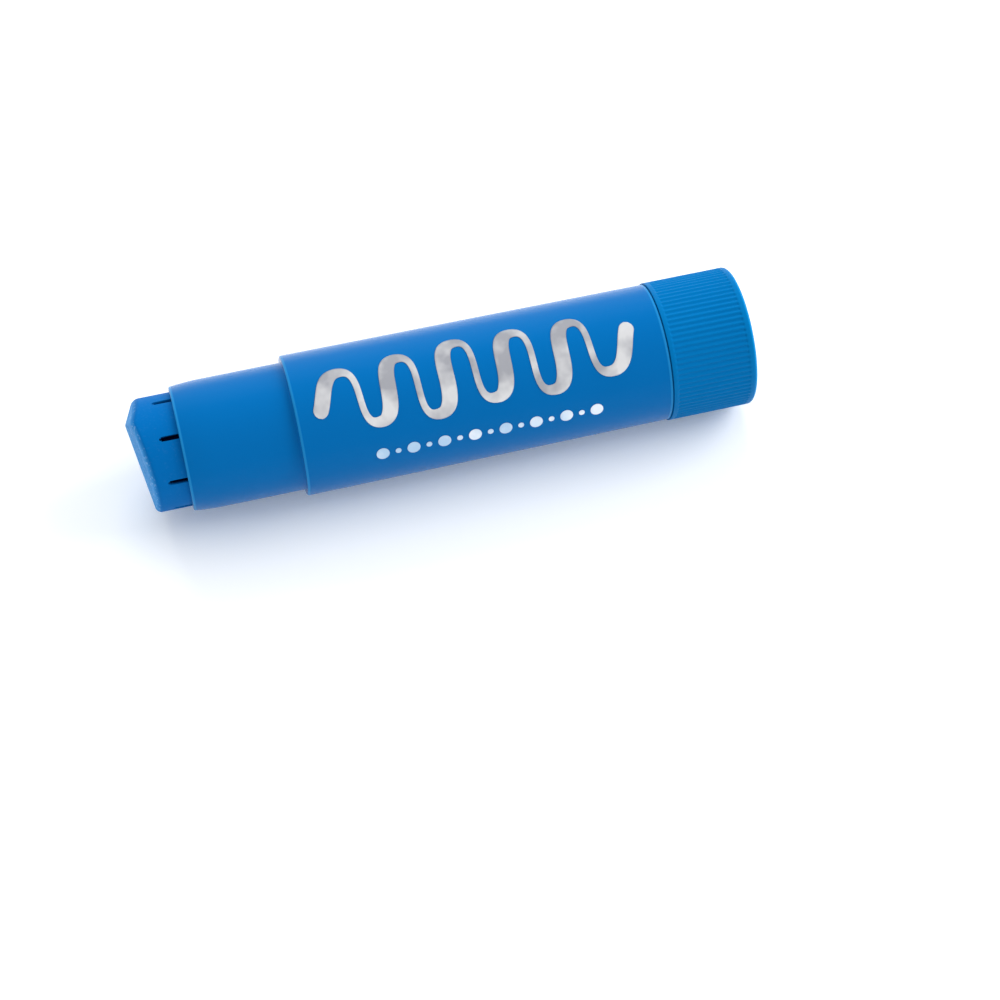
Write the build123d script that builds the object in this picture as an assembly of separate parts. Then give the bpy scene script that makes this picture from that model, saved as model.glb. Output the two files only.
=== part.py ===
from build123d import *
import os

# A twist-up stick of solid paint, without its cap, standing on its knob.
# Millimetres. The origin is the centre of the knob's flat end, and +Z runs up the stick to its point.
# -Y is the front of the barrel, and the paint's highest point lies on the +X side.

# Knob
knob_radius = 11.42
knob_length = 14.07
knob_wall = 1.55
knob_end_wall = 1.6
knob_end_round = 0.65
knob_seam_chamfer = 0.2
rib_count = 80
flute_width = 0.62
flute_floor_width = 0.18
flute_depth = 0.24
flute_end_margin = 1.1
flute_seam_margin = 0.6
web_count = 8
web_thickness = 1.0
web_drop = 0.8
hub_wall = 2.0
hub_height = 4.7

# Running clearances
seam_gap = 0.12
turning_clearance = 0.08
axial_play = 0.15
snap_clearance = 0.2
slide_clearance = 0.15
groove_clearance = 0.12
thread_clearance = 0.2
core_clearance = 0.35
seat_clearance = 0.05
stop_clearance = 0.3

# How far a cut runs past the face it opens, and how far a rib's root lies inside its wall
cut_margin = 1.0
root_overlap = 0.15

# Barrel, from its rear edge at the seam to its mouth
body_length = 60.31
seam_step = 0.2
body_draft = 0.23
body_rear_chamfer = 0.2
body_front_round = 0.4
step_height = 1.07
neck_length = 18.21
neck_root_chamfer = 0.15
lead_in_length = 5.2
lead_in_fall = 0.28
mouth_wall = 0.7
lip_chamfer = 0.25
floor_thickness = 1.8
spigot_wall = 1.45
spigot_chamfer = 0.4
shoulder_rise = 1.45
bead_height = 0.3
bead_length = 1.3
bead_setback = 3.6

# Guide ribs inside the barrel
guide_count = 8
guide_width = 0.55
guide_height = 1.5
guide_point = 0.9
guide_setback = 5.54
guide_angle = 10.1

# Lead screw
screw_lead = 6.0
screw_root_radius = 2.6
screw_crest_radius = 3.6
screw_root_width = 2.3
screw_crest_width = 1.2
screw_height = 74.2
screw_end_chamfer = 0.6
flange_radius = 6.5
flange_thickness = 1.3
key_radius = 4.1
key_shoulder = 0.3

# Carriage
plate_thickness = 2.0
nut_wall = 1.4
nut_height = 9.0
ring_margin = 0.38
ring_wall = 0.9
ring_height = 8.0

# Paint, drawn as far out as it stands
stick_out = 5.61
retracted_drop = 8.5
tip_apex_x = 5.4
tip_apex_rise = 2.3
long_facet_fall_x = 0.146
long_facet_fall_y = 0.125
short_facet_fall_x = 0.504
short_facet_fall_y = 0.15
tip_rim_chamfer = 0.3


# Places worked out from the sizes above
rear_edge_z = knob_length + seam_gap
step_z = rear_edge_z + body_length
mouth_z = step_z + neck_length
body_rear_radius = knob_radius - seam_step
body_front_radius = body_rear_radius + body_draft
neck_radius = body_front_radius - step_height
mouth_radius = neck_radius - lead_in_fall
bore_radius = mouth_radius - mouth_wall
skirt_radius = knob_radius - knob_wall
spigot_radius = skirt_radius - turning_clearance
spigot_bore_radius = spigot_radius - spigot_wall
hub_top_z = knob_end_wall + hub_height
floor_z = hub_top_z + axial_play
floor_top_z = floor_z + floor_thickness
shoulder_z = rear_edge_z + shoulder_rise
bead_z = rear_edge_z - bead_setback
journal_radius = key_radius + key_shoulder
hole_radius = journal_radius + turning_clearance
hub_radius = key_radius + hub_wall
flange_z = floor_top_z + axial_play
flange_top_z = flange_z + flange_thickness
screw_top_z = flange_top_z + screw_height
guide_top_z = mouth_z - guide_setback
guide_inner_radius = bore_radius - guide_height
groove_width = guide_width + 2 * groove_clearance
groove_inner_radius = guide_inner_radius - groove_clearance
stick_radius = bore_radius - slide_clearance
nut_radius = screw_crest_radius + nut_wall
ring_radius = groove_inner_radius - ring_margin
carriage_z = shoulder_z + stop_clearance + retracted_drop
plate_top_z = carriage_z + plate_thickness
nut_top_z = carriage_z + nut_height
ring_top_z = carriage_z + ring_height
rim_z = mouth_z + stick_out
groove_top_z = guide_top_z + retracted_drop + groove_clearance
core_radius = screw_crest_radius + core_clearance
core_top_z = screw_top_z + retracted_drop + core_clearance


def disc(radius, bottom_z, top_z):
    """A cylinder on the stick's axis between two heights."""
    return Pos(0, 0, bottom_z) * Cylinder(
        radius, top_z - bottom_z, align=(Align.CENTER, Align.CENTER, Align.MIN)
    )


def tube(outer_radius, inner_radius, bottom_z, top_z):
    """A plain ring between two heights."""
    return disc(outer_radius, bottom_z, top_z) - disc(inner_radius, bottom_z, top_z)


def spun(*outline):
    """The solid that a closed outline, drawn as radius and height, makes about the axis."""
    return revolve(Plane.XZ * make_face(outline), axis=Axis.Z)


def at_angles(count, first_angle=0.0):
    """Turns about the axis that set copies evenly round it."""
    return [Rot(0, 0, first_angle + 360 / count * index) for index in range(count)]


def blade(width, inner_radius, outer_radius, bottom_z, top_z, point):
    """A radial blade on the +X side whose upper end narrows to a blunt point in flats."""
    half = width / 2
    shoulder_height = top_z - point
    outline = Polyline(
        (-half, bottom_z),
        (half, bottom_z),
        (half, shoulder_height),
        (half * 2 / 3, top_z - point / 3),
        (0, top_z),
        (-half * 2 / 3, top_z - point / 3),
        (-half, shoulder_height),
        close=True,
    )
    facing = Plane(origin=(inner_radius, 0, 0), x_dir=(0, 1, 0), z_dir=(1, 0, 0))
    return extrude(facing * make_face(outline), amount=outer_radius - inner_radius)


def screw_thread(growth, envelope):
    """The screw's left-hand ridge inside an envelope that stands on z = 0, swollen by growth to cut a nut."""
    root = screw_root_radius + growth
    crest = screw_crest_radius + growth
    half_root = screw_root_width / 2 + growth
    half_crest = screw_crest_width / 2 + growth
    sunk_root = root - (crest - root) / 2
    sunk_half = half_root + (half_root - half_crest) / 2
    corners = ((sunk_root, -sunk_half), (crest, -half_crest), (crest, half_crest), (sunk_root, sunk_half))
    profile = Plane.XZ * Polygon(*corners, align=None)
    run_in = 1.25 * screw_lead
    path = Helix(screw_lead, run_in + envelope.bounding_box().max.Z + screw_lead, root, lefthand=True)
    return (Pos(0, 0, -run_in) * sweep(profile, path=path, is_frenet=True)) & envelope


def make_barrel():
    """The moulded tube: spigot, floor, drafted body, step, neck and the guide ribs inside."""
    lead_z = mouth_z - lead_in_length
    bead_low = bead_z - bead_length / 2
    bead_high = bead_z + bead_length / 2
    bead_top = spigot_radius + bead_height
    spigot_and_body = Polyline(
        (spigot_bore_radius, shoulder_z),
        (spigot_bore_radius, floor_top_z),
        (hole_radius, floor_top_z),
        (hole_radius, floor_z),
        (spigot_radius - spigot_chamfer, floor_z),
        (spigot_radius, floor_z + spigot_chamfer),
        (spigot_radius, bead_low),
        (bead_top, bead_z),
        (bead_top, bead_high - bead_height),
        (spigot_radius, bead_high),
        (spigot_radius, rear_edge_z),
        (body_rear_radius - body_rear_chamfer, rear_edge_z),
        (body_rear_radius, rear_edge_z + body_rear_chamfer),
        (body_front_radius, step_z - body_front_round),
    )
    front_corner = TangentArc(
        (body_front_radius, step_z - body_front_round),
        (body_front_radius - body_front_round, step_z),
        tangent=(0, 1),
    )
    neck = Polyline(
        (body_front_radius - body_front_round, step_z),
        (neck_radius + neck_root_chamfer, step_z),
        (neck_radius, step_z + neck_root_chamfer),
        (neck_radius, lead_z),
    )
    lead_in = TangentArc((neck_radius, lead_z), (mouth_radius, mouth_z - lip_chamfer), tangent=(0, 1))
    bore = Polyline(
        (mouth_radius, mouth_z - lip_chamfer),
        (mouth_radius - lip_chamfer, mouth_z),
        (bore_radius, mouth_z),
        (bore_radius, shoulder_z),
        (spigot_bore_radius, shoulder_z),
    )
    shell = spun(spigot_and_body, front_corner, neck, lead_in, bore)
    guide = blade(
        guide_width, guide_inner_radius, bore_radius + root_overlap, shoulder_z, guide_top_z, guide_point
    )
    return shell + [turn * guide for turn in at_angles(guide_count, guide_angle)]


def make_twist_knob():
    """The turning knob: a fluted skirt, its end wall, the hub with its six-sided socket, and webs."""
    groove_radius = skirt_radius + bead_height + snap_clearance
    groove_low = bead_z - bead_length / 2 - snap_clearance
    groove_high = bead_z + bead_length / 2 + snap_clearance
    end_radius = knob_radius - knob_end_round
    end_face = Line((0, 0), (end_radius, 0))
    end_corner = TangentArc((end_radius, 0), (knob_radius, knob_end_round), tangent=(1, 0))
    wall = Polyline(
        (knob_radius, knob_end_round),
        (knob_radius, knob_length - knob_seam_chamfer),
        (knob_radius - knob_seam_chamfer, knob_length),
        (skirt_radius, knob_length),
        (skirt_radius, groove_high),
        (groove_radius, groove_high - bead_height),
        (groove_radius, groove_low + bead_height),
        (skirt_radius, groove_low),
        (skirt_radius, knob_end_wall),
        (0, knob_end_wall),
        (0, 0),
    )
    skirt = spun(end_face, end_corner, wall)
    socket = Pos(0, 0, knob_end_wall) * extrude(RegularPolygon(key_radius + seat_clearance, 6), hub_height)
    hub = disc(hub_radius, knob_end_wall, hub_top_z) - socket
    web_height = hub_height - web_drop
    web_inner_radius = hub_radius - root_overlap
    web_outer_radius = skirt_radius + root_overlap
    web = Pos(web_inner_radius, 0, knob_end_wall) * Box(
        web_outer_radius - web_inner_radius,
        web_thickness,
        web_height,
        align=(Align.MIN, Align.CENTER, Align.MIN),
    )
    knob = skirt + hub + [turn * web for turn in at_angles(web_count)]
    return knob - [turn * make_flute() for turn in at_angles(rib_count, -90)]


def make_flute():
    """The cut between two of the knob's ribs, on the +X side: sloped walls and a narrow floor."""
    slope = (flute_width - flute_floor_width) / 2 / flute_depth
    mouth_half = flute_width / 2 + slope * cut_margin
    section = Polygon(
        (knob_radius - flute_depth, -flute_floor_width / 2),
        (knob_radius + cut_margin, -mouth_half),
        (knob_radius + cut_margin, mouth_half),
        (knob_radius - flute_depth, flute_floor_width / 2),
        align=None,
    )
    return Pos(0, 0, flute_end_margin) * extrude(section, knob_length - flute_seam_margin - flute_end_margin)


def make_lead_screw():
    """The screw: a six-sided key, a journal that turns in the barrel's floor, a flange and the thread."""
    key = Pos(0, 0, knob_end_wall) * extrude(RegularPolygon(key_radius, 6), hub_height)
    journal = disc(journal_radius, hub_top_z, flange_z)
    flange = disc(flange_radius, flange_z, flange_top_z)
    core = disc(screw_root_radius, 0, screw_height)
    envelope = disc(screw_crest_radius + thread_clearance, 0, screw_height)
    envelope = chamfer(envelope.edges().group_by(Axis.Z)[-1], screw_end_chamfer)
    return key + journal + flange + Pos(0, 0, flange_top_z) * (core + screw_thread(0, envelope))


def make_nut():
    """The carriage's nut, its thread turned to meet the screw's at the carriage's height."""
    blank = tube(nut_radius, screw_root_radius + thread_clearance, 0, nut_height)
    reach = disc(screw_crest_radius + 2 * thread_clearance, -thread_clearance, nut_height + thread_clearance)
    turn = -360 * (carriage_z - flange_top_z) / screw_lead
    return Pos(0, 0, carriage_z) * Rot(0, 0, turn) * (blank - screw_thread(thread_clearance, reach))


def make_carriage():
    """The plate that lifts the paint: notched for the guide ribs, with a nut and a ring for the foot."""
    plate = tube(stick_radius, nut_radius, carriage_z, plate_top_z)
    ring = tube(ring_radius, ring_radius - ring_wall, plate_top_z, ring_top_z)
    notch = blade(
        groove_width,
        groove_inner_radius,
        stick_radius + cut_margin,
        carriage_z - cut_margin,
        plate_top_z + cut_margin + guide_point,
        guide_point,
    )
    return (plate - [turn * notch for turn in at_angles(guide_count, guide_angle)]) + ring + make_nut()


def facet(apex, fall_x, fall_y):
    """Everything above one flat facet of the point, which falls away from the apex."""
    slope = Plane(origin=apex, z_dir=(fall_x, fall_y, 1))
    reach = 4 * stick_radius
    return slope * Box(reach, reach, reach, align=(Align.CENTER, Align.CENTER, Align.MIN))


def make_paint_stick():
    """The solid paint: a round stick with eight grooves, a faceted point, and the room for the screw."""
    apex = Vector(tip_apex_x, 0, rim_z + tip_apex_rise)
    blank = Rot(0, 0, guide_angle) * disc(stick_radius, plate_top_z, apex.Z + cut_margin)
    for side in (-1, 1):
        blank -= facet(apex, -long_facet_fall_x, side * long_facet_fall_y)
        blank -= facet(apex, short_facet_fall_x, side * short_facet_fall_y)
    rims = [
        edge
        for edge in blank.edges().filter_by(GeomType.LINE, reverse=True)
        if edge.center().Z > mouth_z
    ]
    blank = chamfer(rims, tip_rim_chamfer)
    groove = blade(
        groove_width,
        groove_inner_radius,
        stick_radius + cut_margin,
        plate_top_z - cut_margin,
        groove_top_z,
        guide_point,
    )
    nut_room = disc(nut_radius + seat_clearance, plate_top_z, nut_top_z + seat_clearance)
    ring_room = tube(
        ring_radius + seat_clearance,
        ring_radius - ring_wall - seat_clearance,
        plate_top_z,
        ring_top_z + seat_clearance,
    )
    core = disc(core_radius, plate_top_z, core_top_z)
    grooved = blank - [turn * groove for turn in at_angles(guide_count, guide_angle)]
    return grooved - nut_room - ring_room - core


pieces = {
    "barrel": make_barrel(),
    "twist_knob": make_twist_knob(),
    "lead_screw": make_lead_screw(),
    "carriage": make_carriage(),
    "paint_stick": make_paint_stick(),
}

os.makedirs("parts", exist_ok=True)
for name, piece in pieces.items():
    piece.label = name
    export_step(piece, f"parts/{name}.step")
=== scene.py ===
import math

import bmesh
import bpy
import numpy as np
from mathutils import Matrix, Vector


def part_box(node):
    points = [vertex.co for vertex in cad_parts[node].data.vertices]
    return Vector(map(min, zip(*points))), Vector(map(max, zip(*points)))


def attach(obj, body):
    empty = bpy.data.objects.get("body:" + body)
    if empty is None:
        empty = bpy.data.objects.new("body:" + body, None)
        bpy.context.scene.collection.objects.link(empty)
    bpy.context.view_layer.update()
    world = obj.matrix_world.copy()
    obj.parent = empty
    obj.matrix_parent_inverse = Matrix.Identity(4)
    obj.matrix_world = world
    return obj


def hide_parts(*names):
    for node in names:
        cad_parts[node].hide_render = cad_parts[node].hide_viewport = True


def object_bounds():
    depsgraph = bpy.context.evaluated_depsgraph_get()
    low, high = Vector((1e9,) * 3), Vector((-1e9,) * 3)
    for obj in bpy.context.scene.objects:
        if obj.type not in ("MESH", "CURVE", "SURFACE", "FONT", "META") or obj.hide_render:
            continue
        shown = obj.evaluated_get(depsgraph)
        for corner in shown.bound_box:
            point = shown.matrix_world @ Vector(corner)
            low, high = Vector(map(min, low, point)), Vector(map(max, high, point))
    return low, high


bl_info = {
    "name": "Paint Stick",
    "version": (1, 0, 0),
    "blender": (4, 5, 0),
    "location": "View3D > Sidebar > Paint Stick",
    "description": "Dresses a twist-up stick of solid paint: barrel, knob, paint and foil ornament",
    "category": "Object",
}

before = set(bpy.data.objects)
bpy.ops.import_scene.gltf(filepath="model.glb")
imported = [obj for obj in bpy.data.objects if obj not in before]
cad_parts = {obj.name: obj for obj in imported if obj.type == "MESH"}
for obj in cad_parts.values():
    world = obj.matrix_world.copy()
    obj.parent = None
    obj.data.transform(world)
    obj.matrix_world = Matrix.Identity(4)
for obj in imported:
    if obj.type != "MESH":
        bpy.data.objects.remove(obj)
CAD_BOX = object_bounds()

MM = 0.001
BARREL_LOW, BARREL_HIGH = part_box("barrel")
KNOB_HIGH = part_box("twist_knob")[1]
PAINT_LOW, PAINT_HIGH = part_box("paint_stick")
MOUTH_Z = BARREL_HIGH[2]
FRONT_RADIUS = BARREL_HIGH[0]
GUIDE_COUNT = 8
ROOT_OVERLAP = 0.1 * MM  # how far a guide rib's root sinks into the wall
EDGE_LOOP = 0.15 * MM  # from a rounded edge to the loop that keeps its shading crisp
END_LOOP = 0.3 * MM  # the same on the knob's flat end
RIB_SAMPLES = 10
BARREL_SEGMENTS = 256
# Width and strength of the highlight painted along the thin edges
EDGE_HIGHLIGHT_WIDTH = 0.5 * MM
EDGE_HIGHLIGHT_SHARE = 0.6
GLOSS_TINT = (0.35, 0.75, 1.0, 1.0)
MECHANISM_WHITE = (226, 226, 220)
TABLE_WHITE = (0.93, 0.94, 0.95, 1.0)
TABLE_SHADE_GLOW = (0.7, 0.85, 1.0, 1.0)


def length(name, description, millimetres):
    """A length that a user may change, stated in millimetres and kept in metres."""
    return bpy.props.FloatProperty(
        name=name, description=description, default=millimetres * MM, unit="LENGTH", precision=5
    )


def angle(name, description, degrees):
    """An angle that a user may change, stated in degrees and kept in radians."""
    return bpy.props.FloatProperty(
        name=name, description=description, default=math.radians(degrees), unit="ROTATION"
    )


def colour(name, description, red, green, blue):
    """A colour that a user may change, stated in the 0 to 255 steps of a screen colour."""
    linear = [screen_to_linear(step / 255) for step in (red, green, blue)]
    return bpy.props.FloatVectorProperty(
        name=name, description=description, default=linear, size=3, min=0, max=1, subtype="COLOR"
    )


def screen_to_linear(value):
    """The linear light of one screen colour channel from 0 to 1."""
    if value <= 0.04045:
        return value / 12.92
    return ((value + 0.055) / 1.055) ** 2.4


class BarrelSizes(bpy.types.PropertyGroup):
    """Sizes of the moulded barrel."""

    seam_gap: length("Seam gap", "Gap between the knob and the barrel's rear edge", 0.12)
    step_z: length("Step", "Height of the step down to the neck", 74.5)
    rear_radius: length("Rear radius", "Radius at the seam", 11.22)
    neck_radius: length("Neck radius", "Radius of the neck behind its lead-in", 10.38)
    mouth_radius: length("Mouth radius", "Radius at the mouth", 10.1)
    lead_in: length("Lead-in", "Length of the neck's tapered front end", 5.2)
    bore_radius: length("Bore radius", "Radius of the bore that the paint slides in", 9.4)
    rear_round: length("Rear rounding", "Rounding of the rear edge", 0.12)
    step_round: length("Step rounding", "Rounding of the step's outer edge", 0.4)
    lip_round: length("Lip rounding", "Rounding of the mouth's outer edge", 0.3)
    spigot_radius: length("Spigot radius", "Radius of the spigot that the knob turns on", 9.79)
    spigot_bore: length("Spigot bore", "Inner radius of the spigot", 8.34)
    hole_radius: length("Floor hole", "Radius of the hole in the barrel's floor", 4.48)
    floor_thickness: length("Floor thickness", "Thickness of the barrel's floor", 1.8)
    shoulder_rise: length("Shoulder rise", "Height of the bore's lower end over the rear edge", 1.45)
    guide_width: length("Guide rib width", "Width of a guide rib", 0.55)
    guide_height: length("Guide rib height", "How far a guide rib stands into the bore", 1.5)
    guide_point: length("Guide rib point", "Length of a guide rib's rounded end", 1.1)
    guide_setback: length("Guide rib setback", "How far below the mouth the guide ribs end", 6.0)
    guide_angle: angle("Guide rib angle", "Turn of the first guide rib about the axis", 10.1)
    spigot_chamfer: length("Spigot chamfer", "Chamfer of the spigot's lower edge", 0.4)
    bead_drop: length("Bead drop", "How far the knob's snap bead lies below the rear edge", 3.6)
    bead_height: length("Bead height", "How far the snap bead stands off the spigot", 0.3)
    bead_reach: length("Bead reach", "From the snap bead's crest to where its slopes end", 0.65)
    bead_flat: length("Bead flat", "Length of the snap bead's crest", 0.35)
    tint: colour("Barrel colour", "Colour of the barrel's plastic", 0, 104, 175)
    # Painted highlight colour, laid on the barrel's thin edges where they catch the light
    edge_tint: colour("Edge colour", "Colour of the barrel's pale edges", 40, 150, 215)


class KnobSizes(bpy.types.PropertyGroup):
    """Sizes of the turning knob."""

    edge_round: length("End rounding", "Rounding of the knob's flat end", 0.65)
    seam_round: length("Seam rounding", "Rounding of the edge at the seam", 0.08)
    skirt_bore: length("Skirt bore", "Inner radius of the skirt", 9.87)
    end_wall: length("End wall", "Thickness of the end wall", 1.6)
    rib_count: bpy.props.IntProperty(
        name="Ribs", description="Grip ribs round the knob", default=80, min=12
    )
    rib_depth: length("Rib depth", "Depth of the flutes between the ribs", 0.2)
    rib_run_out: length("Rib run-out", "Length over which a flute fades out", 0.35)
    rib_end_margin: length("End margin", "Smooth band between the flutes and the flat end", 1.1)
    rib_seam_margin: length("Seam margin", "Smooth band between the flutes and the seam", 0.6)
    tint: colour("Knob colour", "Colour of the knob's plastic", 0, 111, 177)
    # Painted highlight colour, laid on the knob's rounded end edge where it catches the light
    edge_tint: colour("Edge colour", "Colour of the knob's pale end edge", 0, 150, 215)


class PaintSizes(bpy.types.PropertyGroup):
    """Sizes of the solid paint and its point."""

    stick_out: length("Stick-out", "Height over the mouth that the slopes are measured from", 5.61)
    apex_x: length("Point offset", "How far the highest point lies off the axis", 5.4)
    apex_rise: length("Point rise", "Height of the point over the stick-out", 2.3)
    ridge_softness: length("Ridge softness", "How far the ridges are rubbed down", 0.05)
    rim_round: length("Rim rounding", "Rounding of the edge round the point", 0.85)
    groove_width: length("Groove width", "Width of a groove", 0.79)
    groove_depth: length("Groove depth", "Depth of a groove", 1.47)
    groove_rise: length("Groove rise", "How far over the mouth the grooves end", 3.08)
    groove_point: length("Groove point", "Length over which a groove narrows to its end", 0.8)
    tint: colour("Paint colour", "Colour of the solid paint", 0, 104, 178)
    # Colour of the rubbed, chalky point, which also serves as a highlight painted on the facets
    chalk: colour("Chalk", "Colour of the rubbed point", 84, 172, 240)
    fleck: colour("Flecks", "Colour of the pale flecks on the point", 150, 196, 236)
    # Painted shade colour down in the grooves, where the walls keep out the light
    groove_shade: colour("Groove shade", "Colour down in the grooves", 0, 10, 60)


class FoilSizes(bpy.types.PropertyGroup):
    """Sizes and colours of the foil ornament."""

    lift: length("Lift", "How far the foil stands over the barrel", 0.03)
    thickness: length("Thickness", "Thickness of the foil", 0.05)
    stroke_width: length("Stroke width", "Width of the wavy stroke where it falls", 2.5)
    low_z: length("Low end", "Height of the stroke's low end", 19.5)
    high_z: length("High end", "Height of the stroke's high end", 71.0)
    wave_height: length("Wave height", "Half the height of the waves", 5.4)
    centre: length("Centre", "How far the stroke's middle lies round the barrel from its front", 2.2)
    dot_centre: length("Dot row", "How far the row of dots lies round the barrel from its front", -8.2)
    dot_count: bpy.props.IntProperty(name="Dots", description="Dots in the small row", default=15, min=3)
    dots_low_z: length("Row's low end", "Height of the row's first dot", 27.0)
    dots_high_z: length("Row's high end", "Height of the row's last dot", 62.0)
    dot_radius: length("Dot radius", "Radius of a large dot", 1.05)
    silver: colour("Silver", "Colour of the wavy stroke", 222, 222, 224)
    silver_shade: colour("Silver shade", "Colour of the stroke's darker clouds", 168, 169, 176)
    pale_silver: colour("Pale silver", "Colour of the row of dots", 226, 232, 240)
    pale_shade: colour("Pale shade", "Colour of the row's darker clouds", 176, 202, 226)


class StudioSettings(bpy.types.PropertyGroup):
    """The camera, the table top and the lights."""

    lens: bpy.props.FloatProperty(name="Lens", description="Focal length", default=87.36, unit="CAMERA")
    distance: length("Distance", "Camera to the stick's axis", 393.6)
    tilt: angle("Tilt", "How far the point leans towards the camera", 7.79)
    roll: angle("Roll", "Turn of the stick in the picture", 11.94)
    aim_z: length("Aim height", "Height on the stick beside the picture's centre", 44.15)
    aim_x: length("Aim offset", "How far the picture's centre lies off the axis", -18.5)
    table_angle: angle("Table angle", "Direction the table top faces, about the stick's axis", -55.4)
    table_reach: length("Table reach", "Half the side of the square table top", 1500)
    far_power: bpy.props.FloatProperty(
        name="Far light",
        description="Power of the light beyond the stick",
        default=3.0,
        unit="POWER",
    )
    knob_power: bpy.props.FloatProperty(
        name="Knob-side light",
        description="Power of the light off the knob's end",
        default=4.6,
        unit="POWER",
    )
    light_lean: angle("Light lean", "How far the lights lean from straight over the table", 55)
    light_distance: length("Light distance", "From the lights to the stick's middle", 800)
    light_size: length("Light size", "Side of each square light", 550)
    world_level: bpy.props.FloatProperty(
        name="World", description="Strength of the even light", default=0.72
    )
    table_glow: bpy.props.FloatProperty(
        name="Table glow", description="How far the table shows over its own light", default=0.15
    )


def settings(name):
    """The scene's group of settings of that name."""
    return getattr(bpy.context.scene, "stick_" + name)


# Meshes

def link(name, mesh):
    """A new object at the origin that shows a mesh."""
    piece = bpy.data.objects.new(name, mesh)
    bpy.context.collection.objects.link(piece)
    return piece


def welded(mesh, distance, sharp_angle):
    """Merges a mesh's doubles, turns its faces outwards, and shades it smooth but for its corners."""
    work = bmesh.new()
    work.from_mesh(mesh)
    bmesh.ops.remove_doubles(work, verts=work.verts, dist=distance)
    bmesh.ops.dissolve_degenerate(work, edges=work.edges, dist=1e-8)
    bmesh.ops.recalc_face_normals(work, faces=work.faces)
    work.to_mesh(mesh)
    work.free()
    mesh.shade_smooth()
    mesh.set_sharp_from_angle(angle=math.radians(sharp_angle))
    return mesh


def mesh_from(name, vertices, faces, sharp_angle=35.0):
    """A finished mesh of vertices and faces."""
    mesh = bpy.data.meshes.new(name)
    mesh.from_pydata([tuple(v) for v in vertices], [], faces)
    return welded(mesh, 1e-7, sharp_angle)


def joined(name, *meshes):
    """One mesh out of several."""
    work = bmesh.new()
    for mesh in meshes:
        work.from_mesh(mesh)
    result = bpy.data.meshes.new(name)
    work.to_mesh(result)
    work.free()
    return result


def coat(mesh, material):
    """Gives a whole mesh one material."""
    mesh.materials.clear()
    mesh.materials.append(material)


def arc(centre_r, centre_z, radius, start, end, steps):
    """Points of an arc in the radius and height plane, angles in degrees from outwards to upwards."""
    turns = [math.radians(start + (end - start) * step / steps) for step in range(steps + 1)]
    return [(centre_r + radius * math.cos(t), centre_z + radius * math.sin(t)) for t in turns]


def grid_faces(rows, columns, wrap_rows, wrap_columns):
    """Four-sided faces of a grid of points that is stored row by row."""
    faces = []
    for row in range(rows if wrap_rows else rows - 1):
        here = row * columns
        above = (row + 1) % rows * columns
        for column in range(columns if wrap_columns else columns - 1):
            beside = (column + 1) % columns
            faces.append((here + column, here + beside, above + beside, above + column))
    return faces


def turned(profile, segments, name, closed):
    """The mesh that a profile of (radius, height) points sweeps about the axis."""
    angles = np.arange(segments) * (2 * math.pi / segments)
    vertices = [(r * math.cos(a), r * math.sin(a), z) for r, z in profile for a in angles]
    faces = grid_faces(len(profile), segments, closed, True)
    return mesh_from(name, vertices, faces)


# Node groups

def shared(make):
    """The node group that a function makes, made only once."""
    return bpy.data.node_groups.get(make.__name__) or make()


def new_tree(name, inputs):
    """An empty geometry tree with its inputs, its output, and the two end nodes."""
    tree = bpy.data.node_groups.new(name, "GeometryNodeTree")
    tree.interface.new_socket("Geometry", in_out="OUTPUT", socket_type="NodeSocketGeometry")
    tree.interface.new_socket("Geometry", in_out="INPUT", socket_type="NodeSocketGeometry")
    for label, kind, value in inputs:
        socket = tree.interface.new_socket(label, in_out="INPUT", socket_type="NodeSocket" + kind)
        if value is not None:
            socket.default_value = value
    return tree, tree.nodes.new("NodeGroupInput"), tree.nodes.new("NodeGroupOutput")


def node(tree, kind, inputs=None, **options):
    """A node with its options, each input set to a value or linked from a socket."""
    made = tree.nodes.new(kind)
    for option, value in options.items():
        setattr(made, option, value)
    for label, value in (inputs or {}).items():
        socket = made.inputs[label]
        if isinstance(value, bpy.types.NodeSocket):
            tree.links.new(value, socket)
        else:
            socket.default_value = value
    return made


def maths(tree, operation, *values):
    """The result of a Math node on numbers or sockets."""
    made = tree.nodes.new("ShaderNodeMath")
    made.operation = operation
    for socket, value in zip(made.inputs, values):
        if isinstance(value, bpy.types.NodeSocket):
            tree.links.new(value, socket)
        else:
            socket.default_value = value
    return made.outputs[0]


def ring_of_copies():
    """Copies of a mesh set evenly round the axis and merged where they meet."""
    tree, start, end = new_tree(
        "ring_of_copies",
        [("Count", "Int", 8), ("First angle", "Float", 0.0), ("Material", "Material", None)],
    )
    single = node(tree, "GeometryNodeGeometryToInstance", {"Geometry": start.outputs["Geometry"]})
    copies = node(
        tree,
        "GeometryNodeDuplicateElements",
        {"Geometry": single.outputs[0], "Amount": start.outputs["Count"]},
        domain="INSTANCE",
    )
    step = maths(tree, "DIVIDE", 2 * math.pi, start.outputs["Count"])
    number = copies.outputs["Duplicate Index"]
    spin = maths(tree, "MULTIPLY_ADD", number, step, start.outputs["First angle"])
    turn = node(tree, "ShaderNodeCombineXYZ", {"Z": spin})
    placed = node(
        tree,
        "GeometryNodeRotateInstances",
        {"Instances": copies.outputs["Geometry"], "Rotation": turn.outputs[0], "Local Space": False},
    )
    real = node(tree, "GeometryNodeRealizeInstances", {"Geometry": placed.outputs[0]})
    merged = node(tree, "GeometryNodeMergeByDistance", {"Geometry": real.outputs[0], "Distance": 1e-6})
    painted = node(
        tree,
        "GeometryNodeSetMaterial",
        {"Geometry": merged.outputs[0], "Material": start.outputs["Material"]},
    )
    tree.links.new(painted.outputs[0], end.inputs[0])
    return tree


def moved_to(tree, geometry, place):
    """A geometry with its points moved to a place."""
    return node(tree, "GeometryNodeSetPosition", {"Geometry": geometry, "Position": place}).outputs[0]


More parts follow.
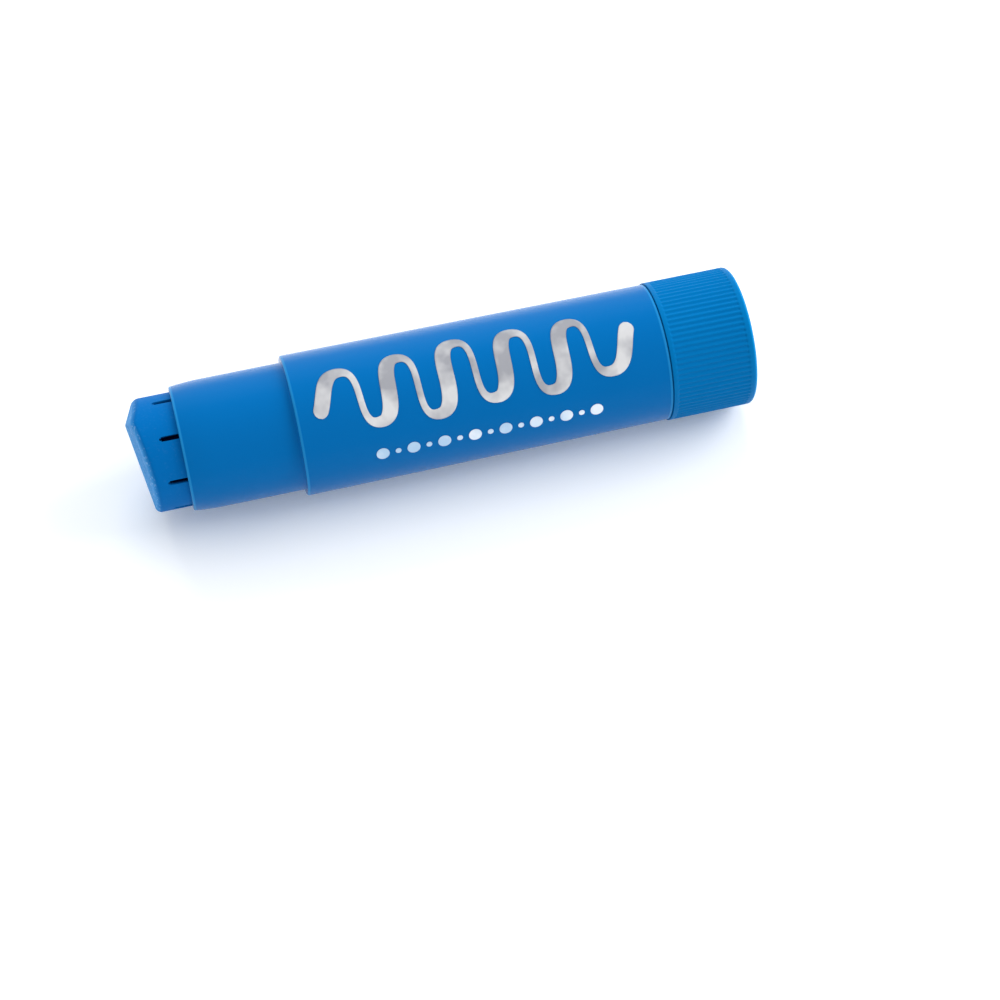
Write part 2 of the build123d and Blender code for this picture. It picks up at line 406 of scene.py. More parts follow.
def wrapped(tree, geometry, start):
    """Nodes that roll a flat drawing, x along the stick and y round it, onto the drafted barrel."""
    place = node(tree, "GeometryNodeInputPosition")
    flat = node(tree, "ShaderNodeSeparateXYZ", {"Vector": place.outputs[0]})
    share = maths(
        tree,
        "DIVIDE",
        maths(tree, "SUBTRACT", flat.outputs["X"], start.outputs["Rear height"]),
        maths(tree, "SUBTRACT", start.outputs["Front height"], start.outputs["Rear height"]),
    )
    taper = maths(tree, "SUBTRACT", start.outputs["Front radius"], start.outputs["Rear radius"])
    wall = maths(tree, "MULTIPLY_ADD", share, taper, start.outputs["Rear radius"])
    radius = maths(tree, "ADD", maths(tree, "ADD", wall, start.outputs["Lift"]), flat.outputs["Z"])
    spin = maths(tree, "DIVIDE", flat.outputs["Y"], wall)
    across = maths(tree, "MULTIPLY", radius, maths(tree, "SINE", spin))
    forward = maths(tree, "MULTIPLY", maths(tree, "MULTIPLY", radius, maths(tree, "COSINE", spin)), -1.0)
    rolled = node(tree, "ShaderNodeCombineXYZ", {"X": across, "Y": forward, "Z": flat.outputs["X"]})
    return moved_to(tree, geometry, rolled.outputs[0])


WRAP_INPUTS = [
    ("Rear height", "Float", 0.0),
    ("Front height", "Float", 1.0),
    ("Rear radius", "Float", 1.0),
    ("Front radius", "Float", 1.0),
    ("Lift", "Float", 0.0),
    ("Material", "Material", None),
]


def finish_flat(tree, geometry, start, end):
    """Rolls the drawing on, makes it real and gives it its material."""
    rolled = wrapped(tree, geometry, start)
    real = node(tree, "GeometryNodeRealizeInstances", {"Geometry": rolled})
    painted = node(
        tree,
        "GeometryNodeSetMaterial",
        {"Geometry": real.outputs[0], "Material": start.outputs["Material"]},
    )
    tree.links.new(painted.outputs[0], end.inputs[0])


def stroke_on_barrel():
    """A flat stroke along a curve, thinned to round ends, rolled onto the barrel."""
    tree, start, end = new_tree(
        "stroke_on_barrel",
        [("Width", "Float", 0.002), ("Thin share", "Float", 0.4), ("Step", "Float", 0.0003)]
        + WRAP_INPUTS,
    )
    even = node(
        tree,
        "GeometryNodeResampleCurve",
        {"Curve": start.outputs["Geometry"], "Length": start.outputs["Step"]},
        mode="LENGTH",
    )
    along = node(tree, "GeometryNodeSplineParameter")
    whole = node(tree, "GeometryNodeSplineLength")
    half = maths(tree, "MULTIPLY", start.outputs["Width"], 0.5)
    rest = maths(tree, "SUBTRACT", whole.outputs["Length"], along.outputs["Length"])
    nearest = maths(tree, "MINIMUM", along.outputs["Length"], rest)
    inside = maths(tree, "MINIMUM", maths(tree, "DIVIDE", nearest, half), 1.0)
    missing = maths(tree, "SUBTRACT", 1.0, inside)
    squared = maths(tree, "MULTIPLY", missing, missing)
    rounding = maths(tree, "SQRT", maths(tree, "SUBTRACT", 1.0, squared))
    heading = node(tree, "GeometryNodeInputTangent")
    parts = node(tree, "ShaderNodeSeparateXYZ", {"Vector": heading.outputs[0]})
    falling = maths(tree, "MULTIPLY_ADD", parts.outputs["Y"], -0.5, 0.5)
    spread = maths(tree, "SUBTRACT", 1.0, start.outputs["Thin share"])
    share = maths(tree, "MULTIPLY_ADD", falling, spread, start.outputs["Thin share"])
    width = maths(tree, "MULTIPLY", half, share)
    reach = maths(tree, "MULTIPLY", width, maths(tree, "MAXIMUM", rounding, 0.02))
    sized = node(tree, "GeometryNodeSetCurveRadius", {"Curve": even.outputs[0], "Radius": reach})
    line = node(tree, "GeometryNodeCurvePrimitiveLine", {"Start": (-1, 0, 0), "End": (1, 0, 0)})
    across = node(tree, "GeometryNodeResampleCurve", {"Curve": line.outputs[0], "Count": 9})
    strip = node(
        tree,
        "GeometryNodeCurveToMesh",
        {"Curve": sized.outputs[0], "Profile Curve": across.outputs[0], "Scale": reach},
    )
    finish_flat(tree, strip.outputs[0], start, end)
    return tree


def squeezed(tree, side):
    """How far the other coordinate shrinks when a square grid becomes a disc."""
    half_square = maths(tree, "MULTIPLY", maths(tree, "MULTIPLY", side, side), -0.5)
    return maths(tree, "SQRT", maths(tree, "ADD", half_square, 1.0))


def dots_on_barrel():
    """A row of flat dots, large and small by turns, rolled onto the barrel."""
    tree, start, end = new_tree(
        "dots_on_barrel",
        [
            ("Count", "Int", 9),
            ("Low", "Float", 0.0),
            ("High", "Float", 1.0),
            ("Across", "Float", 0.0),
            ("Dot radius", "Float", 0.001),
            ("Small share", "Float", 0.45),
        ]
        + WRAP_INPUTS,
    )
    first = node(tree, "ShaderNodeCombineXYZ", {"X": start.outputs["Low"], "Y": start.outputs["Across"]})
    last = node(tree, "ShaderNodeCombineXYZ", {"X": start.outputs["High"], "Y": start.outputs["Across"]})
    row = node(
        tree,
        "GeometryNodeMeshLine",
        {"Count": start.outputs["Count"], "Start Location": first.outputs[0], "Offset": last.outputs[0]},
        mode="END_POINTS",
    )
    number = node(tree, "GeometryNodeInputIndex")
    turn = maths(tree, "MODULO", number.outputs[0], 2.0)
    shrink = maths(tree, "SUBTRACT", 1.0, start.outputs["Small share"])
    size = maths(tree, "SUBTRACT", 1.0, maths(tree, "MULTIPLY", turn, shrink))
    disc = node(
        tree,
        "GeometryNodeMeshGrid",
        {"Size X": 2.0, "Size Y": 2.0, "Vertices X": 13, "Vertices Y": 13},
    )
    place = node(tree, "GeometryNodeInputPosition")
    square = node(tree, "ShaderNodeSeparateXYZ", {"Vector": place.outputs[0]})
    x, y = square.outputs["X"], square.outputs["Y"]
    round_x = maths(tree, "MULTIPLY", x, squeezed(tree, y))
    round_y = maths(tree, "MULTIPLY", y, squeezed(tree, x))
    round_place = node(tree, "ShaderNodeCombineXYZ", {"X": round_x, "Y": round_y})
    rounded = moved_to(tree, disc.outputs[0], round_place.outputs[0])
    scale = maths(tree, "MULTIPLY", size, start.outputs["Dot radius"])
    placed = node(
        tree,
        "GeometryNodeInstanceOnPoints",
        {"Points": row.outputs[0], "Instance": rounded, "Scale": scale},
    )
    real = node(tree, "GeometryNodeRealizeInstances", {"Geometry": placed.outputs[0]})
    finish_flat(tree, real.outputs[0], start, end)
    return tree


def grown(name, source, tree, values, solid=0.0):
    """The plain mesh that a geometry tree makes of an object, which is then removed."""
    modifier = source.modifiers.new(tree.name, "NODES")
    modifier.node_group = tree
    sockets = {item.name: item.identifier for item in tree.interface.items_tree if item.in_out == "INPUT"}
    for label, value in values.items():
        modifier[sockets[label]] = value
    if solid:
        thick = source.modifiers.new("thickness", "SOLIDIFY")
        thick.thickness = solid
        thick.offset = -1
    bpy.context.view_layer.update()
    evaluated = source.evaluated_get(bpy.context.evaluated_depsgraph_get())
    mesh = bpy.data.meshes.new_from_object(evaluated)
    if not mesh.polygons:
        raise RuntimeError(name + " came out empty")
    mesh.name = name
    data = source.data
    bpy.data.objects.remove(source)
    if isinstance(data, bpy.types.Curve):
        bpy.data.curves.remove(data)
    else:
        bpy.data.meshes.remove(data)
    return mesh


# Shader node groups

def new_effect(name, inputs, outputs):
    """An empty shader group of number sockets, with its two end nodes."""
    group = bpy.data.node_groups.new(name, "ShaderNodeTree")
    for label, value in inputs:
        socket = group.interface.new_socket(label, in_out="INPUT", socket_type="NodeSocketFloat")
        socket.default_value = value
    for label in outputs:
        group.interface.new_socket(label, in_out="OUTPUT", socket_type="NodeSocketFloat")
    return group, group.nodes.new("NodeGroupInput"), group.nodes.new("NodeGroupOutput")


def effect(tree, make, **values):
    """A shader group placed in a material, with its own values."""
    placed = tree.nodes.new("ShaderNodeGroup")
    placed.node_tree = shared(make)
    for label, value in values.items():
        placed.inputs[label.replace("_", " ")].default_value = value
    return placed.outputs


def noise(tree, scale, detail):
    """Noise of a given fineness that sits still on the piece."""
    place = node(tree, "ShaderNodeTexCoord")
    return node(
        tree, "ShaderNodeTexNoise", {"Vector": place.outputs["Object"], "Scale": scale, "Detail": detail}
    ).outputs[0]


def ramp(tree, value, low, high):
    """A value stretched so that low becomes 0 and high becomes 1, and held between them."""
    limits = {"Value": value, "From Min": low, "From Max": high}
    return node(tree, "ShaderNodeMapRange", limits).outputs[0]


def off_axis(tree, spot):
    """How far a place lies from the stick's axis."""
    across = maths(tree, "MULTIPLY", spot["X"], spot["X"])
    return maths(tree, "SQRT", maths(tree, "MULTIPLY_ADD", spot["Y"], spot["Y"], across))


def moulding_grain():
    """Fine grain and slow mottle of a moulded surface: a height for a bump and a value round one half."""
    group, start, end = new_effect(
        "moulding_grain", [("Grain scale", 900.0), ("Mottle scale", 60.0)], ["Height", "Mottle"]
    )
    fine = noise(group, start.outputs["Grain scale"], detail=3.0)
    slow = noise(group, start.outputs["Mottle scale"], detail=2.0)
    group.links.new(maths(group, "MULTIPLY_ADD", slow, 0.3, fine), end.inputs["Height"])
    group.links.new(slow, end.inputs["Mottle"])
    return group


def edge_highlight_line():
    """A mask of the stick's side where a highlight is painted: 1 at one height, falling to 0 within a
    width of it.
    """
    group, start, end = new_effect(
        "edge_highlight_line", [("Height", 0.0), ("Inner radius", 0.0), ("Width", EDGE_HIGHLIGHT_WIDTH)], ["Line"]
    )
    place = node(group, "ShaderNodeTexCoord")
    spot = node(group, "ShaderNodeSeparateXYZ", {"Vector": place.outputs["Object"]}).outputs
    away = maths(group, "ABSOLUTE", maths(group, "SUBTRACT", spot["Z"], start.outputs["Height"]))
    outside = maths(group, "GREATER_THAN", off_axis(group, spot), start.outputs["Inner radius"])
    near = maths(group, "SUBTRACT", start.outputs["Width"], away)
    fade = maths(group, "MULTIPLY", start.outputs["Width"], 0.4)
    facing = node(group, "ShaderNodeSeparateXYZ", {"Vector": place.outputs["Normal"]}).outputs["Z"]
    side = ramp(group, maths(group, "ABSOLUTE", facing), low=0.97, high=0.85)
    shown = maths(group, "MULTIPLY", side, outside)
    line = ramp(group, near, low=0.0, high=fade)
    group.links.new(maths(group, "MULTIPLY", line, shown), end.inputs["Line"])
    return group


def blend(tree, share, first, second):
    """One colour turning into another as a share goes from 0 to 1; each is a colour or a socket."""
    mix = node(tree, "ShaderNodeMix", data_type="RGBA")
    tree.links.new(share, mix.inputs["Factor"])
    colours = [socket for socket in mix.inputs if socket.type == "RGBA"]
    for socket, value in zip(colours, (first, second)):
        if isinstance(value, bpy.types.NodeSocket):
            tree.links.new(value, socket)
        else:
            socket.default_value = tuple(value) + (1,)
    return next(socket for socket in mix.outputs if socket.type == "RGBA")


def tinted_over(material, share, tint):
    """Lays a second tint over what already colours a material, by a share."""
    tree = material.node_tree
    base = tree.nodes["Principled BSDF"].inputs["Base Color"]
    under = base.links[0].from_socket
    tree.links.new(blend(tree, share, under, tint), base)


def surface(name, tint, roughness, gloss, spread=0.03, bump=0.02, grain=900.0, mottle=60.0):
    """A plastic or paint: one colour drifting slightly, with a grained bump and an uneven roughness."""
    material = bpy.data.materials.new(name)
    material.use_nodes = True
    tree = material.node_tree
    shader = tree.nodes["Principled BSDF"]
    shader.inputs["Specular IOR Level"].default_value = gloss
    shader.inputs["Specular Tint"].default_value = GLOSS_TINT
    grained = effect(tree, moulding_grain, Grain_scale=grain, Mottle_scale=mottle)
    dark = [channel * (1 - spread) for channel in tint]
    light = [min(1, channel * (1 + spread)) for channel in tint]
    tree.links.new(blend(tree, grained["Mottle"], dark, light), shader.inputs["Base Color"])
    centred = maths(tree, "SUBTRACT", grained["Mottle"], 0.5)
    tree.links.new(maths(tree, "MULTIPLY_ADD", centred, 0.1, roughness), shader.inputs["Roughness"])
    relief = {"Height": grained["Height"], "Strength": bump, "Distance": 0.1 * MM}
    tree.links.new(node(tree, "ShaderNodeBump", relief).outputs[0], shader.inputs["Normal"])
    return material


def with_pale_edges(material, edges, tint):
    """Paints a highlight on a plastic's thin edges, each a height and a radius, where they catch the
    light.
    """
    tree = material.node_tree
    share = 0.0
    for height, radius in edges:
        line = effect(tree, edge_highlight_line, Height=height, Inner_radius=radius - EDGE_HIGHLIGHT_WIDTH)
        share = maths(tree, "MAXIMUM", share, line["Line"])
    tinted_over(material, maths(tree, "MULTIPLY", share, EDGE_HIGHLIGHT_SHARE), tint)


def foil(name, tint, shade):
    """Hot-stamped silver foil: a metal clouded with a darker shade, with a dusty roughness."""
    material = surface(
        name, tint, roughness=0.42, gloss=0.5, spread=0.06, bump=0.12, grain=2600.0, mottle=420.0
    )
    tree = material.node_tree
    cloud = ramp(tree, noise(tree, scale=170.0, detail=3.0), low=0.4, high=0.62)
    tinted_over(material, cloud, shade)
    tree.nodes["Principled BSDF"].inputs["Metallic"].default_value = 0.75
    return material


def solid_paint(sizes):
    """Matt waxy paint, flecked on its cut point, whose facets are paler partly from rubbing and partly by
    a painted highlight, and darker down in its grooves by painted shade.
    """
    material = surface(
        "solid_paint", sizes.tint, roughness=0.6, gloss=0.08, spread=0.05, bump=0.12, grain=1500.0
    )
    tree = material.node_tree
    place = node(tree, "ShaderNodeTexCoord")
    facing = node(tree, "ShaderNodeSeparateXYZ", {"Vector": place.outputs["Normal"]})
    # The point's facets turn paler: partly rubbed chalky paint, partly a highlight painted by which way
    # they face
    point = ramp(tree, facing.outputs["Z"], low=0.3, high=0.92)
    chalk = maths(tree, "MULTIPLY_ADD", noise(tree, scale=700.0, detail=3.0), 0.7, 0.2)
    tinted_over(material, maths(tree, "MULTIPLY", point, chalk), sizes.chalk)
    flecks = ramp(tree, noise(tree, scale=2200.0, detail=2.0), low=0.58, high=0.66)
    amount = maths(tree, "MULTIPLY_ADD", point, 0.5, 0.015)
    tinted_over(material, maths(tree, "MULTIPLY", flecks, amount), sizes.fleck)
    # Painted shade: the side darkens with depth in the grooves, where little light reaches
    spot = node(tree, "ShaderNodeSeparateXYZ", {"Vector": place.outputs["Object"]})
    radius = off_axis(tree, spot.outputs)
    side = maths(tree, "LESS_THAN", facing.outputs["Z"], 0.5)
    deep = ramp(tree, radius, PAINT_HIGH[1] - 0.1 * MM, PAINT_HIGH[1] - 0.7 * MM)
    tinted_over(material, maths(tree, "MULTIPLY", deep, side), sizes.groove_shade)
    return material


# The pieces

def rear_edge(sizes):
    """Height of the barrel's rear edge at the seam."""
    return KNOB_HIGH[2] + sizes.seam_gap


def barrel_profile(sizes):
    """Radius and height all round the barrel's wall, from the floor's hole, outside first."""
    floor_z = BARREL_LOW[2]
    rear_z = rear_edge(sizes)
    draft = (FRONT_RADIUS - sizes.rear_radius) / (sizes.step_z - rear_z)
    spigot = sizes.spigot_radius
    bead_z = rear_z - sizes.bead_drop
    bead = spigot + sizes.bead_height
    rear = sizes.rear_round
    step = sizes.step_round
    lip = sizes.lip_round
    lead_z = MOUTH_Z - sizes.lead_in
    fall = sizes.neck_radius - sizes.mouth_radius
    points = [
        (sizes.hole_radius, floor_z),
        (spigot - sizes.spigot_chamfer, floor_z),
        (spigot, floor_z + sizes.spigot_chamfer),
        (spigot, bead_z - sizes.bead_reach),
        (bead, bead_z),
        (bead, bead_z + sizes.bead_flat),
        (spigot, bead_z + sizes.bead_reach),
        (spigot, rear_z),
        (sizes.rear_radius - rear - EDGE_LOOP, rear_z),
    ]
    points += arc(sizes.rear_radius - rear, rear_z + rear, rear, -90, 0, 6)
    points.append((sizes.rear_radius + draft * (rear + EDGE_LOOP), rear_z + rear + EDGE_LOOP))
    points.append((FRONT_RADIUS - draft * (step + EDGE_LOOP), sizes.step_z - step - EDGE_LOOP))
    points += arc(FRONT_RADIUS - step, sizes.step_z - step, step, 0, 90, 8)
    points.append((FRONT_RADIUS - step - EDGE_LOOP, sizes.step_z))
    points.append((sizes.neck_radius + 2 * EDGE_LOOP, sizes.step_z))
    points += arc(sizes.neck_radius + EDGE_LOOP, sizes.step_z + EDGE_LOOP, EDGE_LOOP, 270, 180, 3)
    points.append((sizes.neck_radius, sizes.step_z + 3 * EDGE_LOOP))
    for share in (0.0, 0.2, 0.4, 0.6, 0.8, 0.94):
        points.append((sizes.neck_radius - fall * share**2, lead_z + (sizes.lead_in - lip) * share))
    points += arc(sizes.mouth_radius - lip, MOUTH_Z - lip, lip, 0, 90, 5)
    points.append((sizes.bore_radius + EDGE_LOOP / 2, MOUTH_Z))
    points.append((sizes.bore_radius, MOUTH_Z - EDGE_LOOP / 2))
    shoulder_z = rear_z + sizes.shoulder_rise
    points += [
        (sizes.bore_radius, shoulder_z),
        (sizes.spigot_bore, shoulder_z),
        (sizes.spigot_bore, floor_z + sizes.floor_thickness),
        (sizes.hole_radius, floor_z + sizes.floor_thickness),
    ]
    return points


def guide_rib(sizes):
    """One guide rib inside the bore on the +X side, its upper end rounded."""
    half = sizes.guide_width / 2
    shoulder = MOUTH_Z - sizes.guide_setback - sizes.guide_point
    bottom = rear_edge(sizes) + sizes.shoulder_rise
    outline = [(half, bottom)]
    for turn in np.linspace(0, math.pi, 9):
        outline.append((half * math.cos(turn), shoulder + sizes.guide_point * math.sin(turn)))
    outline.append((-half, bottom))
    inner = sizes.bore_radius - sizes.guide_height
    outer = sizes.bore_radius + ROOT_OVERLAP
    count = len(outline)
    vertices = [(inner, y, z) for y, z in outline] + [(outer, y, z) for y, z in outline]
    faces = [tuple(range(count)), tuple(range(2 * count - 1, count - 1, -1))]
    faces += [(i, (i + 1) % count, count + (i + 1) % count, count + i) for i in range(count)]
    return mesh_from("guide_rib", vertices, faces)


class STICK_OT_barrel(bpy.types.Operator):
    """Builds the moulded barrel with its step, neck, mouth and guide ribs"""

    bl_idname = "stick.barrel"
    bl_label = "Build barrel"

    def execute(self, context):
        sizes = settings("barrel")
        material = surface("barrel_plastic", sizes.tint, roughness=0.22, gloss=0.1, bump=0.012)
        edges = (
            (rear_edge(sizes), sizes.rear_radius),
            (sizes.step_z, FRONT_RADIUS),
            (MOUTH_Z, sizes.mouth_radius),
        )
        # Painted highlights on the rear edge, the outer edge of the step and the mouth
        with_pale_edges(material, edges, sizes.edge_tint)
        shell = turned(barrel_profile(sizes), BARREL_SEGMENTS, "barrel_shell", True)
        rib = link("guide_rib", guide_rib(sizes))
        values = {"Count": GUIDE_COUNT, "First angle": sizes.guide_angle, "Material": material}
        ribs = grown("guide_ribs", rib, shared(ring_of_copies), values)
        mesh = joined("barrel_moulding", shell, ribs)
        coat(mesh, material)
        piece = link("barrel_moulding", mesh)
        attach(piece, "barrel")
        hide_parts("barrel")
        return {"FINISHED"}


def knob_outside(sizes, radius, top_z):
    """Radius, height and share of flute depth down the knob's outside, from the seam to the end."""
    seam = sizes.seam_round
    edge = sizes.edge_round
    run = sizes.rib_run_out
    rib_top = top_z - sizes.rib_seam_margin
    rib_foot = sizes.rib_end_margin
    rows = [(r, z, 0.0) for r, z in reversed(arc(radius - seam, top_z - seam, seam, 0, 90, 4))]
    rows.append((radius, rib_top + run * 0.3, 0.0))
    fade = ((0.0, 0.0), (0.25, 0.15), (0.5, 0.5), (0.75, 0.85), (1.0, 1.0))
    rows += [(radius, rib_top - run * share, depth) for share, depth in fade]
    rows += [(radius, rib_foot + run * share, depth) for share, depth in reversed(fade)]
    rows += [(r, z, 0.0) for r, z in reversed(arc(radius - edge, edge, edge, -90, 0, 8))]
    rows.append((radius - edge - END_LOOP, 0.0, 0.0))
    return rows


def knob_sector(sizes, radius, top_z):
    """One rib's share of the knob's outside: half a rib, a flute and half a rib."""
    step = 2 * math.pi / sizes.rib_count
    rows = knob_outside(sizes, radius, top_z)
    vertices = []
    for r, z, depth in rows:
        for sample in range(RIB_SAMPLES + 1):
            share = sample / RIB_SAMPLES - 0.5
            sunk = sizes.rib_depth * depth * (0.5 + 0.5 * math.cos(2 * math.pi * share))
            turn = step * share
            vertices.append(((r - sunk) * math.cos(turn), (r - sunk) * math.sin(turn), z))
    faces = grid_faces(len(rows), RIB_SAMPLES + 1, False, False)
    return mesh_from("knob_sector", vertices, faces, sharp_angle=60.0)


def knob_inside(sizes, radius, top_z):
    """Radius and height of the knob's flat end, then up its bore to the seam."""
    seam = sizes.seam_round
    flat = radius - sizes.edge_round - END_LOOP
    end = [(flat, 0.0), (0.0, 0.0)]
    bore = [(0.0, sizes.end_wall), (sizes.skirt_bore, sizes.end_wall), (sizes.skirt_bore, top_z)]
    bore.append((radius - seam, top_z))
    return end, bore


class STICK_OT_knob(bpy.types.Operator):
    """Builds the turning knob with its fine grip ribs"""

    bl_idname = "stick.knob"
    bl_label = "Build knob"

    def execute(self, context):
        sizes = settings("knob")
        radius = KNOB_HIGH[0]
        top_z = KNOB_HIGH[2]
        material = surface("knob_plastic", sizes.tint, roughness=0.5, gloss=0.08, bump=0.05)
        # Painted highlight on the knob's rounded end edge
        with_pale_edges(material, ((0.0, radius),), sizes.edge_tint)
        sector = link("knob_sector", knob_sector(sizes, radius, top_z))
        values = {"Count": sizes.rib_count, "First angle": -math.pi / 2, "Material": material}
        ribbed = grown("knob_ribs", sector, shared(ring_of_copies), values)
        end, bore = knob_inside(sizes, radius, top_z)
        segments = sizes.rib_count * RIB_SAMPLES
        flat = turned(end, segments, "knob_end", False)
        inner = turned(bore, segments, "knob_bore", False)
        mesh = welded(joined("knob_moulding", ribbed, flat, inner), 2e-6, sharp_angle=60.0)
        coat(mesh, material)
        piece = link("knob_moulding", mesh)
        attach(piece, "knob")
        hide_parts("twist_knob")
        return {"FINISHED"}


class PointShape:
    """The low faceted point of the paint: four flat slopes that meet off the axis, softly rubbed."""

    LONG_FALL = (-0.146, 0.125)
    SHORT_FALL = (0.504, 0.15)

    def __init__(self, sizes):
        self.apex_x = sizes.apex_x
        self.apex_z = MOUTH_Z + sizes.stick_out + sizes.apex_rise
        self.softness = sizes.ridge_softness

    def height(self, x, y):
        """Height of the rubbed slopes over a place."""
        falls = []
        for fall_x, fall_y in (self.LONG_FALL, self.SHORT_FALL):
            for side in (-1, 1):
                falls.append(-fall_x * (x - self.apex_x) - side * fall_y * y)
        falls = np.array(falls)
        lowest = falls.min(axis=0)
        blend = np.exp(-(falls - lowest) / self.softness).sum(axis=0)
        return self.apex_z + lowest - self.softness * np.log(blend)


def groove_angles(sizes, radius, first_angle):
    """Angles round the paint, a close pair at each groove wall, and each one's place across its groove."""
    half = sizes.groove_width / 2
    hair = 0.012 * MM
    edges = (-half - hair, -half + hair, -half / 2, 0.0, half / 2, half - hair, half + hair)
    pitch = 2 * math.pi / GUIDE_COUNT
    plain = 26
    angles = []
    across = []
    for groove in range(GUIDE_COUNT):
        middle = first_angle + pitch * groove
        for place in edges:
            angles.append(middle + place / radius)
            across.append(place)
        start = edges[-1] / radius
        gap = pitch - 2 * start
        for step in range(1, plain):
            angles.append(middle + start + gap * step / plain)
            across.append(2 * half)
    return np.array(angles), np.array(across)


def paint_mesh(sizes, guide_angle):
    """The paint's skin: foot, grooved side, rounded rim and the slopes up to the point."""
    radius = PAINT_HIGH[1]
    shape = PointShape(sizes)
    half = sizes.groove_width / 2
    angles, across = groove_angles(sizes, radius, guide_angle)
    cosines, sines = np.cos(angles), np.sin(angles)
    rim = shape.height(radius * cosines, radius * sines)
    top_z = MOUTH_Z + sizes.groove_rise
    groove_end = top_z - sizes.groove_point * np.clip(np.abs(across) / half, 0, 1) ** 1.5
    in_groove = np.abs(across) < half
    bottom = PAINT_LOW[2]
    tall = top_z + 0.06 * MM
    heights = [bottom, bottom + 0.2 * MM]
    heights += list(np.linspace(bottom + 6 * MM, top_z - 1.2 * sizes.groove_point, 14))
    heights += list(np.linspace(top_z - 1.1 * sizes.groove_point, tall, 24))
    flat = 0 * angles
    rings = [np.column_stack((flat, flat, flat + bottom))]
    for height in heights:
        r = radius - np.where(in_groove & (height < groove_end), sizes.groove_depth, 0.0)
        rings.append(np.column_stack((r * cosines, r * sines, flat + height)))
    round_by = sizes.rim_round
    side_top = rim - round_by
    for share in (0.35, 0.7, 0.92, 1.0):
        height = tall + (side_top - tall) * share
        rings.append(np.column_stack((radius * cosines, radius * sines, height)))
    for step in range(1, 7):
        turn = math.pi / 2 * step / 6
        r = radius - round_by * (1 - math.cos(turn))
        x, y = r * cosines, r * sines
        top = shape.height(x, y)
        rings.append(np.column_stack((x, y, top - round_by * (1 - math.sin(turn)))))
    inner = radius - round_by
    shares = [0.02, 0.06, 0.12] + list(np.linspace(0.2, 0.98, 30)) + [1.0]
    for share in shares:
        x = inner * cosines * (1 - share) + shape.apex_x * share
        y = inner * sines * (1 - share)
        rings.append(np.column_stack((x, y, shape.height(x, y))))
    faces = grid_faces(len(rings), len(angles), False, True)
    return mesh_from("paint_solid", np.concatenate(rings), faces, sharp_angle=40.0)


class STICK_OT_paint(bpy.types.Operator):
    """Builds the stick of solid paint with its grooves and faceted point"""

    bl_idname = "stick.paint"
    bl_label = "Build paint"

    def execute(self, context):
        sizes = settings("paint")
        mesh = paint_mesh(sizes, settings("barrel").guide_angle)
        mesh.materials.append(solid_paint(sizes))
        piece = link("paint_solid", mesh)
        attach(piece, "carriage")
        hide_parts("paint_stick")
        return {"FINISHED"}


class STICK_OT_mechanism(bpy.types.Operator):
    """Gives the screw and the carriage their plain white plastic"""

    bl_idname = "stick.mechanism"
    bl_label = "Finish mechanism"

    def execute(self, context):
        white = [screen_to_linear(level / 255) for level in MECHANISM_WHITE]
        material = surface(
            "mechanism_plastic", white, roughness=0.45, gloss=0.5, spread=0.02, bump=0.03
        )
        for name in ("lead_screw", "carriage"):
            coat(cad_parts[name].data, material)
        return {"FINISHED"}


def foil_values(material):
    """The barrel's sizes that a drawing is rolled onto."""
    sizes = settings("barrel")
    return {
        "Rear height": rear_edge(sizes),
        "Front height": sizes.step_z,
        "Rear radius": sizes.rear_radius,
        "Front radius": FRONT_RADIUS,
        "Lift": settings("foil").lift,
        "Material": material,
    }


def wave_curve(sizes):
    """The flat path of the wavy stroke, x along the stick and y round it."""
    crests = (0.55, -0.8, 0.95, -1.0, 1.0, -0.88, 1.06, -1.02, 0.92, -0.9, 0.82, -0.45)
    curve = bpy.data.curves.new("wave", "CURVE")
    curve.dimensions = "3D"
    curve.twist_mode = "Z_UP"
    curve.resolution_u = 24
    spline = curve.splines.new("BEZIER")
    spline.bezier_points.add(len(crests) - 1)
    pitch = (sizes.high_z - sizes.low_z) / (len(crests) - 1)
    for number, (place, crest) in enumerate(zip(spline.bezier_points, crests)):
        place.co = (sizes.low_z + pitch * number, sizes.centre + sizes.wave_height * crest, 0)
        place.handle_left_type = place.handle_right_type = "AUTO"
    return curve


class STICK_OT_foil(bpy.types.Operator):
    """Stamps the wavy stroke and the row of dots onto the barrel"""

    bl_idname = "stick.foil"
    bl_label = "Stamp foil"

    def execute(self, context):
        sizes = settings("foil")
        silver = foil("silver_foil", sizes.silver, sizes.silver_shade)
        path = link("wave", wave_curve(sizes))
        values = {"Width": sizes.stroke_width, "Step": 0.15 * MM, **foil_values(silver)}
        wave = grown("foil_wave", path, shared(stroke_on_barrel), values, sizes.thickness)
        pale = foil("pale_foil", sizes.pale_silver, sizes.pale_shade)
        seed = link("dots", bpy.data.meshes.new("dots"))
        values = {
            "Count": sizes.dot_count,
            "Low": sizes.dots_low_z,
            "High": sizes.dots_high_z,
            "Across": sizes.dot_centre,
            "Dot radius": sizes.dot_radius,
            **foil_values(pale),
        }
        dots = grown("foil_dots", seed, shared(dots_on_barrel), values, sizes.thickness)
        for mesh in (wave, dots):
            piece = link(mesh.name, mesh)
            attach(piece, "barrel")
        return {"FINISHED"}


# The stage

